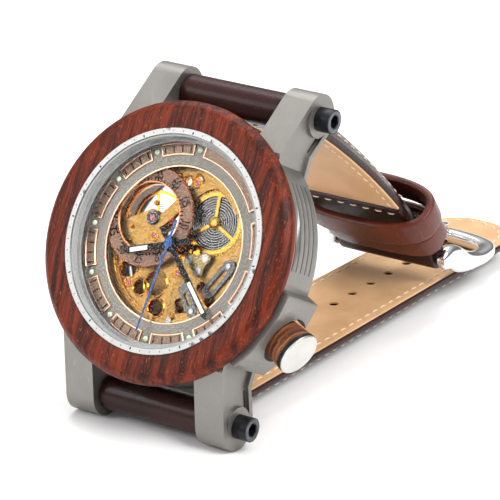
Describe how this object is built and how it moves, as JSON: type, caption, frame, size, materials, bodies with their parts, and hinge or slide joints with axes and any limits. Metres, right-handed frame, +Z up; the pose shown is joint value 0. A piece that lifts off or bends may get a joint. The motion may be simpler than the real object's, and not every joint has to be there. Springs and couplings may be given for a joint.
{
  "type": "wristwatch",
  "caption": "Skeleton automatic wristwatch with a wooden bezel, screwed lugs, wooden crown and padded leather strap, standing on its lugs with the strap open.",
  "frame": {"origin": "on the standing surface, straight below the dial's centre, on the long strap half's underside", "axes": "X towards 3 o'clock and the crown, Y backwards from the dial along the strap, Z up from the standing surface"},
  "size_m": [0.048, 0.1084, 0.0519],
  "materials": {
    "case_steel": "bead-blasted steel, warm grey",
    "steel_polished": "polished steel",
    "black_steel": "black coated steel",
    "bezel_wood": "red sandalwood, satin",
    "crown_wood": "brown wood, fine grain, satin",
    "glass": "flat mineral crystal",
    "gasket": "soft sealing ring",
    "white_gasket": "nylon sealing ring",
    "dial_grey": "matt warm grey",
    "rose_gold": "rose gold, brushed face and bright bevel",
    "lume": "pale luminous paint",
    "lume_white": "white luminous paint",
    "movement_holder": "moulded movement ring",
    "gold": "gilt brass",
    "steel_dark": "dark polished steel",
    "steel_bright": "bright steel",
    "ruby": "synthetic ruby",
    "hand_black": "black lacquer",
    "hand_blue": "blue lacquer",
    "leather_dark": "dark brown glazed leather",
    "leather_tan": "tan lining leather"
  },
  "bodies": {
    "head": {"case_middle": "case_steel", "crown_tube": "steel_bright", "wood_bezel": "bezel_wood", "rehaut_ring": "steel_polished", "crystal": "glass", "crystal_gasket": "white_gasket", "dial": "dial_grey", "dial_placards": "rose_gold", "lume_dots": "lume", "subdial_ring": "rose_gold", "movement_ring": "movement_holder", "case_back": "case_steel", "back_glass": "glass", "back_gasket": "gasket", "lug_screws": "black_steel", "main_plate": "gold", "barrel_bridge": "gold", "train_bridge": "gold", "balance_cock": "gold", "jewels": "ruby", "movement_screws": "steel_bright", "minute_cover": "steel_dark", "setting_spring": "steel_dark", "yoke_spring": "steel_dark", "rotor_bearing": "steel_bright", "hairspring": "steel_dark"},
    "stem_slide": {"setting_lever": "steel_dark"},
    "crown": {"crown_grip": "crown_wood", "crown_ring": "black_steel", "crown_cap": "steel_polished", "winding_stem": "steel_bright"},
    "barrel": {"barrel_drum": "gold", "mainspring": "steel_dark"},
    "minutes": {"center_wheel": "gold", "minute_hand": "hand_black", "minute_lume": "lume_white"},
    "hours": {"hour_wheel": "gold", "hour_hand": "hand_black", "hour_lume": "lume_white"},
    "motion_wheel": {"minute_wheel": "gold"},
    "third": {"third_wheel": "gold"},
    "seconds": {"fourth_wheel": "gold", "second_hand": "hand_blue"},
    "escape": {"escape_wheel": "steel_bright"},
    "pallets": {"pallet_fork": "steel_bright"},
    "balance": {"balance_wheel": "gold"},
    "rotor": {"rotor": "gold"},
    "strap_long": {"strap_long_leather": "leather_dark", "strap_long_lining": "leather_tan"},
    "strap_short": {"strap_short_leather": "leather_dark", "strap_short_lining": "leather_tan", "fixed_keeper": "leather_dark"},
    "free_keeper": {"free_keeper": "leather_dark"},
    "buckle": {"buckle_frame": "steel_polished", "buckle_bar": "steel_bright"},
    "tang": {"buckle_tang": "steel_polished"}
  },
  "joints": [
    {"name": "crown_pull", "type": "slide", "parent": "head", "child": "stem_slide", "axis": [0.8988, -0.2004, -0.3899], "range_m": [0, 0.0009]},
    {"name": "crown_turn", "type": "hinge", "parent": "stem_slide", "child": "crown", "pos_m": [0.01798, 0.0008, 0.01931], "axis": [0.8988, -0.2004, -0.3899], "continuous": true},
    {"name": "seconds_turn", "type": "hinge", "parent": "head", "child": "seconds", "pos_m": [0, 0.00356, 0.02775], "axis": [0, -0.8894, 0.4571], "continuous": true},
    {"name": "minutes_turn", "type": "hinge", "parent": "head", "child": "minutes", "pos_m": [0, 0.00356, 0.02775], "axis": [0, -0.8894, 0.4571], "continuous": true},
    {"name": "hours_turn", "type": "hinge", "parent": "head", "child": "hours", "pos_m": [0, 0.00356, 0.02775], "axis": [0, -0.8894, 0.4571], "continuous": true},
    {"name": "motion_wheel_turn", "type": "hinge", "parent": "head", "child": "motion_wheel", "pos_m": [0.00236, 0.00123, 0.02848], "axis": [0, -0.8894, 0.4571], "continuous": true},
    {"name": "third_turn", "type": "hinge", "parent": "head", "child": "third", "pos_m": [0.00103, 0.00167, 0.02408], "axis": [0, -0.8894, 0.4571], "continuous": true},
    {"name": "barrel_turn", "type": "hinge", "parent": "head", "child": "barrel", "pos_m": [0.00498, 0.00576, 0.03203], "axis": [0, -0.8894, 0.4571], "continuous": true},
    {"name": "escape_turn", "type": "hinge", "parent": "head", "child": "escape", "pos_m": [-0.00385, 0.00292, 0.02651], "axis": [0, -0.8894, 0.4571], "continuous": true},
    {"name": "pallet_swing", "type": "hinge", "parent": "head", "child": "pallets", "pos_m": [-0.00487, 0.0048, 0.02798], "axis": [0, -0.8894, 0.4571], "range_deg": [-6, 6]},
    {"name": "balance_swing", "type": "hinge", "parent": "head", "child": "balance", "pos_m": [-0.0061, 0.00511, 0.03078], "axis": [0, -0.8894, 0.4571], "range_deg": [-270, 270]},
    {"name": "rotor_turn", "type": "hinge", "parent": "head", "child": "rotor", "pos_m": [0, 0.00711, 0.02592], "axis": [0, -0.8894, 0.4571], "continuous": true},
    {"name": "strap_long_hinge", "type": "hinge", "parent": "head", "child": "strap_long", "pos_m": [0, -0.00426, 0.004], "axis": [1, 0, 0], "range_deg": [-117, 0]},
    {"name": "strap_short_hinge", "type": "hinge", "parent": "head", "child": "strap_short", "pos_m": [0, 0.01832, 0.04794], "axis": [1, 0, 0], "range_deg": [0, 102]},
    {"name": "keeper_slide", "type": "slide", "parent": "strap_short", "child": "free_keeper", "axis": [0, -0.6993, 0.7148], "range_m": [0, 0.012]},
    {"name": "buckle_hinge", "type": "hinge", "parent": "strap_short", "child": "buckle", "pos_m": [0, 0.0645, 0.00932], "axis": [1, 0, 0], "range_deg": [0, 30]},
    {"name": "tang_hinge", "type": "hinge", "parent": "buckle", "child": "tang", "pos_m": [0, 0.0645, 0.00932], "axis": [1, 0, 0], "range_deg": [0, 35]}
  ],
  "couplings": [
    {"joint": "escape_turn", "follows": "seconds_turn", "ratio": -12},
    {"joint": "third_turn", "follows": "seconds_turn", "ratio": -0.125},
    {"joint": "minutes_turn", "follows": "seconds_turn", "ratio": 0.016667},
    {"joint": "motion_wheel_turn", "follows": "seconds_turn", "ratio": -0.0055556},
    {"joint": "hours_turn", "follows": "seconds_turn", "ratio": 0.0013889},
    {"joint": "barrel_turn", "follows": "seconds_turn", "ratio": -0.0043333}
  ]
}
